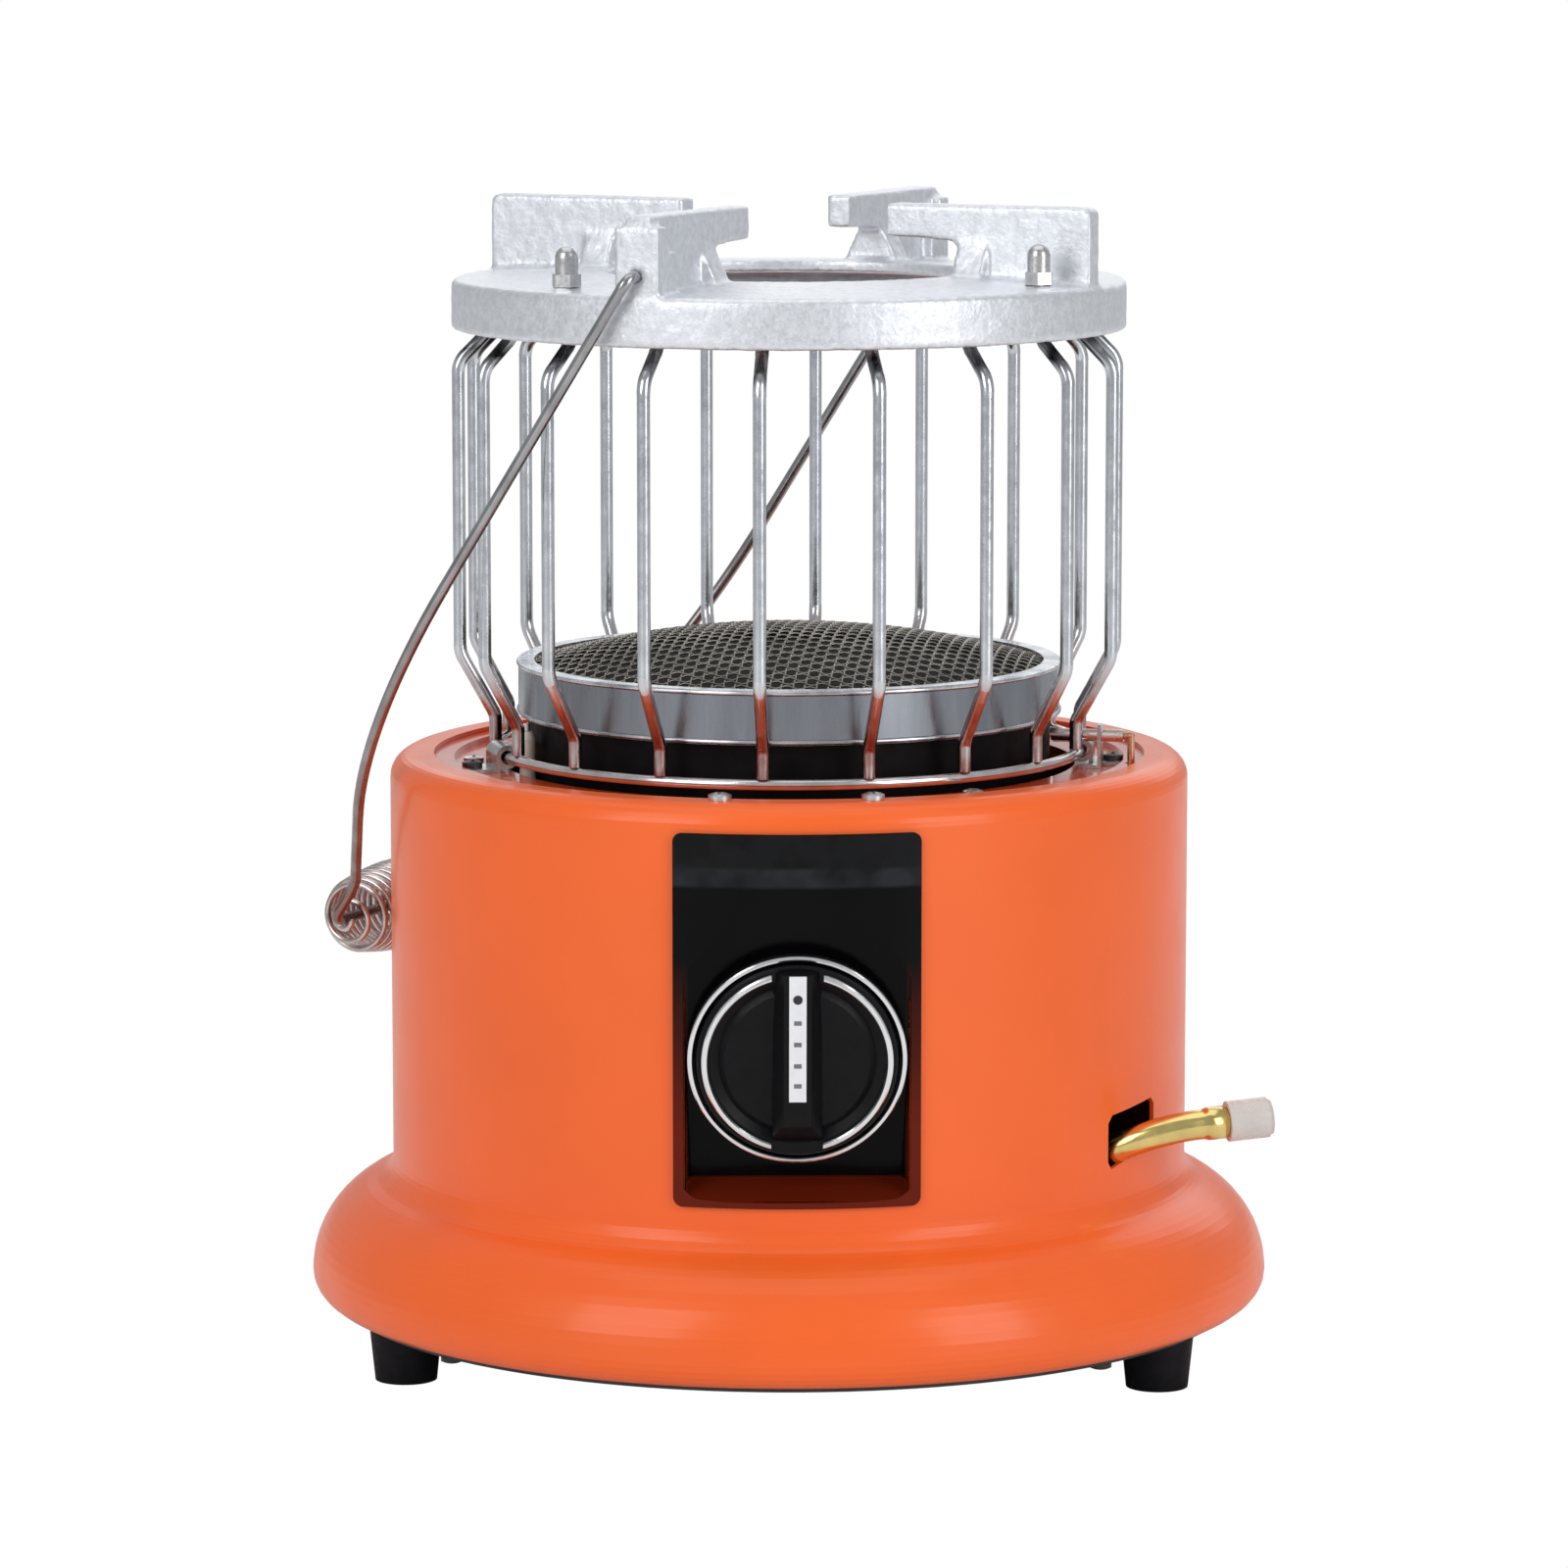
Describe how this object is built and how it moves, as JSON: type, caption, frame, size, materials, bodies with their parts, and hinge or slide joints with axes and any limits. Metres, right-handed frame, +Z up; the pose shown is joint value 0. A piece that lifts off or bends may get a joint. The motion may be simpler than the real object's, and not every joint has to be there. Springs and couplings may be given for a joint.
{
  "type": "portable gas heater",
  "caption": "Round gas heater with a drum housing, a wire guard with a cast pan support, a push-and-turn knob and a bail handle with a coil grip.",
  "frame": {"origin": "on the drum's axis at floor level, under the feet", "axes": "+Z up, the control panel and its knob face -Y, the hose nozzle comes out towards +X"},
  "size_m": [0.265, 0.265, 0.3174],
  "materials": {
    "orange_paint": "orange satin-gloss enamel",
    "black_steel": "matt black heat-proof paint",
    "plate_steel": "black enamel on the base plate",
    "chrome_wire": "bright plated wire, tinted by heat near the burner",
    "plated_steel": "zinc-plated steel",
    "bright_rim": "polished stainless steel",
    "cast_alu": "sand-cast, grainy",
    "rubber_black": "matt black",
    "knob_plastic": "black, semi-gloss",
    "bezel_plastic": "black, glossy",
    "knob_chrome": "metallised ring",
    "pointer_white": "white",
    "brass_gas": "bright brass",
    "valve_alu": "die-cast",
    "cap_soft": "translucent soft plastic",
    "spark_ceramic": "white glazed electrode",
    "plaque_ceramic": "pierced ceramic plaque, off-white",
    "gasket_fibre": "ceramic-fibre paper",
    "wire_cloth": "dark heat-tinted woven wire",
    "wire_jacket": "insulated lead",
    "copper_lead": "bare copper capillary"
  },
  "bodies": {
    "heater": {"housing_shell": "orange_paint", "top_deck": "orange_paint", "deck_screws": "plated_steel", "base_plate": "plate_steel", "base_screws": "plated_steel", "foot_front_left": "rubber_black", "foot_front_right": "rubber_black", "foot_rear_left": "rubber_black", "foot_rear_right": "rubber_black", "foot_screws": "plated_steel", "foot_nuts": "plated_steel", "control_bezel": "bezel_plastic", "dial_ring": "knob_chrome", "valve_bracket": "plated_steel", "bracket_screws": "plated_steel", "gas_valve_body": "valve_alu", "valve_cover": "brass_gas", "valve_screws": "plated_steel", "knob_return_spring": "plated_steel", "piezo_igniter": "spark_ceramic", "ignition_wire": "wire_jacket", "igniter_ceramic": "spark_ceramic", "igniter_pin": "plated_steel", "electrode_bracket": "plated_steel", "thermocouple": "bright_rim", "thermocouple_bracket": "plated_steel", "thermocouple_lead": "copper_lead", "inlet_nut": "brass_gas", "inlet_pipe": "brass_gas", "hose_nozzle": "brass_gas", "injector_jet": "brass_gas", "mixing_tube": "plated_steel", "burner_cup": "black_steel", "burner_brackets": "plated_steel", "burner_bracket_screws": "plated_steel", "burner_rim": "bright_rim", "ceramic_plaque": "plaque_ceramic", "plaque_gasket": "gasket_fibre", "burner_mesh": "wire_cloth", "guard_wires": "chrome_wire", "guard_base_ring": "chrome_wire", "guard_top_ring": "chrome_wire", "guard_clip_left": "plated_steel", "guard_clip_right": "plated_steel", "guard_clip_rear": "plated_steel", "guard_clip_screws": "plated_steel", "guard_studs": "plated_steel", "pan_support": "cast_alu", "acorn_nuts": "plated_steel"},
    "valve_rotor": {"valve_plug": "brass_gas"},
    "knob": {"knob_spindle": "plated_steel", "knob_body": "knob_plastic", "knob_trim_ring": "knob_chrome", "knob_pointer": "pointer_white"},
    "bail": {"bail_wire": "chrome_wire"},
    "grip": {"grip_coil": "chrome_wire"},
    "cap": {"nozzle_cap": "cap_soft"}
  },
  "joints": [
    {"name": "knob_turn", "type": "hinge", "parent": "heater", "child": "valve_rotor", "pos_m": [0, -0.1035, 0.1], "axis": [0, -0.9848, -0.1736], "range_deg": [0, 180]},
    {"name": "knob_push", "type": "slide", "parent": "valve_rotor", "child": "knob", "axis": [0, 0.9848, 0.1736], "range_m": [0, 0.004], "stiffness_N_per_m": 600, "springref_m": -0.004, "deforming": ["knob_return_spring"]},
    {"name": "bail_swing", "type": "hinge", "parent": "heater", "child": "bail", "pos_m": [0, 0, 0.3015], "axis": [0.454, 0.891, 0], "range_deg": [0, 293.1]},
    {"name": "grip_spin", "type": "hinge", "parent": "bail", "child": "grip", "pos_m": [-0.10995, 0.05602, 0.11455], "axis": [0.454, 0.891, 0], "continuous": true},
    {"name": "cap_pull", "type": "slide", "parent": "heater", "child": "cap", "axis": [0.982, 0.1738, 0.0739], "range_m": [0, 0.04]}
  ]
}
